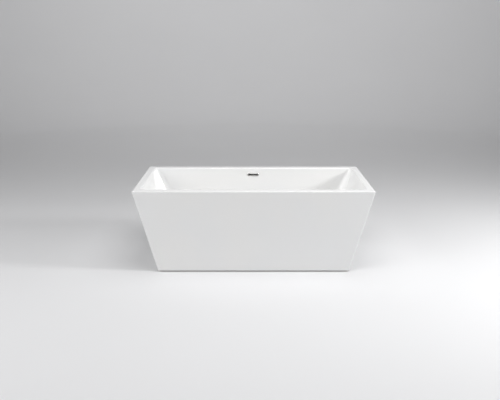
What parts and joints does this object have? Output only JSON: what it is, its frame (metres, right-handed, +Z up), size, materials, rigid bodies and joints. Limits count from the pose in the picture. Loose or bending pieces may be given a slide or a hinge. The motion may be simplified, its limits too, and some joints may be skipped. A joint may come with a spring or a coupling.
{
  "type": "freestanding bathtub",
  "caption": "Rectangular freestanding acrylic bathtub whose skirt leans in at both ends, with a flat rim, slot overflow, push-open waste, steel frame and screw feet.",
  "frame": {"origin": "on the floor under the middle of the tub, level with the undersides of the foot pads", "axes": "+X along the tub, +Y towards the long side with the overflow, +Z up"},
  "size_m": [1.6996, 0.8, 0.6],
  "materials": {
    "white_acrylic": "gloss",
    "glassfibre": "rough laminate",
    "plywood": "sanded",
    "chipboard": "raw",
    "galvanised_steel": "galvanised",
    "zinc_steel": "zinc plated",
    "black_nylon": "moulded",
    "chrome": "polished",
    "brass": "turned",
    "spring_steel": "drawn wire",
    "black_rubber": "moulded",
    "white_plastic": "moulded",
    "grey_plastic": "moulded"
  },
  "bodies": {
    "tub": {"baseboard": "chipboard", "bath_shell": "white_acrylic", "board_screws": "zinc_steel", "bracket_screws": "zinc_steel", "foot_lock_nuts": "zinc_steel", "frame_cross_left_end": "galvanised_steel", "frame_cross_left_mid": "galvanised_steel", "frame_cross_right_end": "galvanised_steel", "frame_cross_right_mid": "galvanised_steel", "frame_rail_back": "galvanised_steel", "frame_rail_front": "galvanised_steel", "glassfibre_backing": "glassfibre", "outlet_elbow": "white_plastic", "outlet_tail": "white_plastic", "overflow_body": "white_plastic", "overflow_elbow": "white_plastic", "overflow_gasket": "black_rubber", "overflow_pipe_lower": "white_plastic", "overflow_pipe_upright": "white_plastic", "overflow_slip_nuts": "grey_plastic", "overflow_trim": "chrome", "popup_cartridge": "brass", "popup_spring": "spring_steel", "rim_batten_back": "plywood", "rim_batten_front": "plywood", "rim_batten_left": "plywood", "rim_batten_right": "plywood", "rim_post_back_left": "galvanised_steel", "rim_post_back_right": "galvanised_steel", "rim_post_front_left": "galvanised_steel", "rim_post_front_right": "galvanised_steel", "skirt": "white_acrylic", "skirt_batten_back": "plywood", "skirt_batten_front": "plywood", "skirt_batten_left": "plywood", "skirt_batten_right": "plywood", "skirt_brackets": "galvanised_steel", "trap_body": "white_plastic", "trap_slip_nuts": "grey_plastic", "tube_end_caps": "black_nylon", "waste_body": "white_plastic", "waste_flange": "chrome", "waste_flange_gasket": "black_rubber", "waste_under_gasket": "black_rubber"},
    "plug": {"popup_cap": "chrome", "popup_seal": "black_rubber", "popup_stem": "brass"},
    "foot_1": {"foot_pad_1": "black_nylon"},
    "screw_1": {"foot_stud_1": "zinc_steel"},
    "foot_2": {"foot_pad_2": "black_nylon"},
    "screw_2": {"foot_stud_2": "zinc_steel"},
    "foot_3": {"foot_pad_3": "black_nylon"},
    "screw_3": {"foot_stud_3": "zinc_steel"},
    "foot_4": {"foot_pad_4": "black_nylon"},
    "screw_4": {"foot_stud_4": "zinc_steel"},
    "foot_5": {"foot_pad_5": "black_nylon"},
    "screw_5": {"foot_stud_5": "zinc_steel"},
    "foot_6": {"foot_pad_6": "black_nylon"},
    "screw_6": {"foot_stud_6": "zinc_steel"}
  },
  "joints": [
    {"name": "plug_lift", "type": "slide", "parent": "tub", "child": "plug", "axis": [0, 0, 1], "range_m": [0, 0.009], "deforming": ["popup_spring"]},
    {"name": "foot_1_height", "type": "slide", "parent": "tub", "child": "foot_1", "axis": [0, 0, 1], "range_m": [-0.012, 0.006]},
    {"name": "screw_1_turn", "type": "hinge", "parent": "foot_1", "child": "screw_1", "pos_m": [-0.52, -0.285, 0], "axis": [0, 0, 1], "range_deg": [-2480, 1240]},
    {"name": "foot_2_height", "type": "slide", "parent": "tub", "child": "foot_2", "axis": [0, 0, 1], "range_m": [-0.012, 0.006]},
    {"name": "screw_2_turn", "type": "hinge", "parent": "foot_2", "child": "screw_2", "pos_m": [0, -0.285, 0], "axis": [0, 0, 1], "range_deg": [-2480, 1240]},
    {"name": "foot_3_height", "type": "slide", "parent": "tub", "child": "foot_3", "axis": [0, 0, 1], "range_m": [-0.012, 0.006]},
    {"name": "screw_3_turn", "type": "hinge", "parent": "foot_3", "child": "screw_3", "pos_m": [0.52, -0.285, 0], "axis": [0, 0, 1], "range_deg": [-2480, 1240]},
    {"name": "foot_4_height", "type": "slide", "parent": "tub", "child": "foot_4", "axis": [0, 0, 1], "range_m": [-0.012, 0.006]},
    {"name": "screw_4_turn", "type": "hinge", "parent": "foot_4", "child": "screw_4", "pos_m": [-0.52, 0.285, 0], "axis": [0, 0, 1], "range_deg": [-2480, 1240]},
    {"name": "foot_5_height", "type": "slide", "parent": "tub", "child": "foot_5", "axis": [0, 0, 1], "range_m": [-0.012, 0.006]},
    {"name": "screw_5_turn", "type": "hinge", "parent": "foot_5", "child": "screw_5", "pos_m": [0, 0.285, 0], "axis": [0, 0, 1], "range_deg": [-2480, 1240]},
    {"name": "foot_6_height", "type": "slide", "parent": "tub", "child": "foot_6", "axis": [0, 0, 1], "range_m": [-0.012, 0.006]},
    {"name": "screw_6_turn", "type": "hinge", "parent": "foot_6", "child": "screw_6", "pos_m": [0.52, 0.285, 0], "axis": [0, 0, 1], "range_deg": [-2480, 1240]}
  ],
  "couplings": [
    {"joint": "screw_1_turn", "follows": "foot_1_height", "rad_per_m": 3590.4},
    {"joint": "screw_2_turn", "follows": "foot_2_height", "rad_per_m": 3590.4},
    {"joint": "screw_3_turn", "follows": "foot_3_height", "rad_per_m": 3590.4},
    {"joint": "screw_4_turn", "follows": "foot_4_height", "rad_per_m": 3590.4},
    {"joint": "screw_5_turn", "follows": "foot_5_height", "rad_per_m": 3590.4},
    {"joint": "screw_6_turn", "follows": "foot_6_height", "rad_per_m": 3590.4}
  ]
}
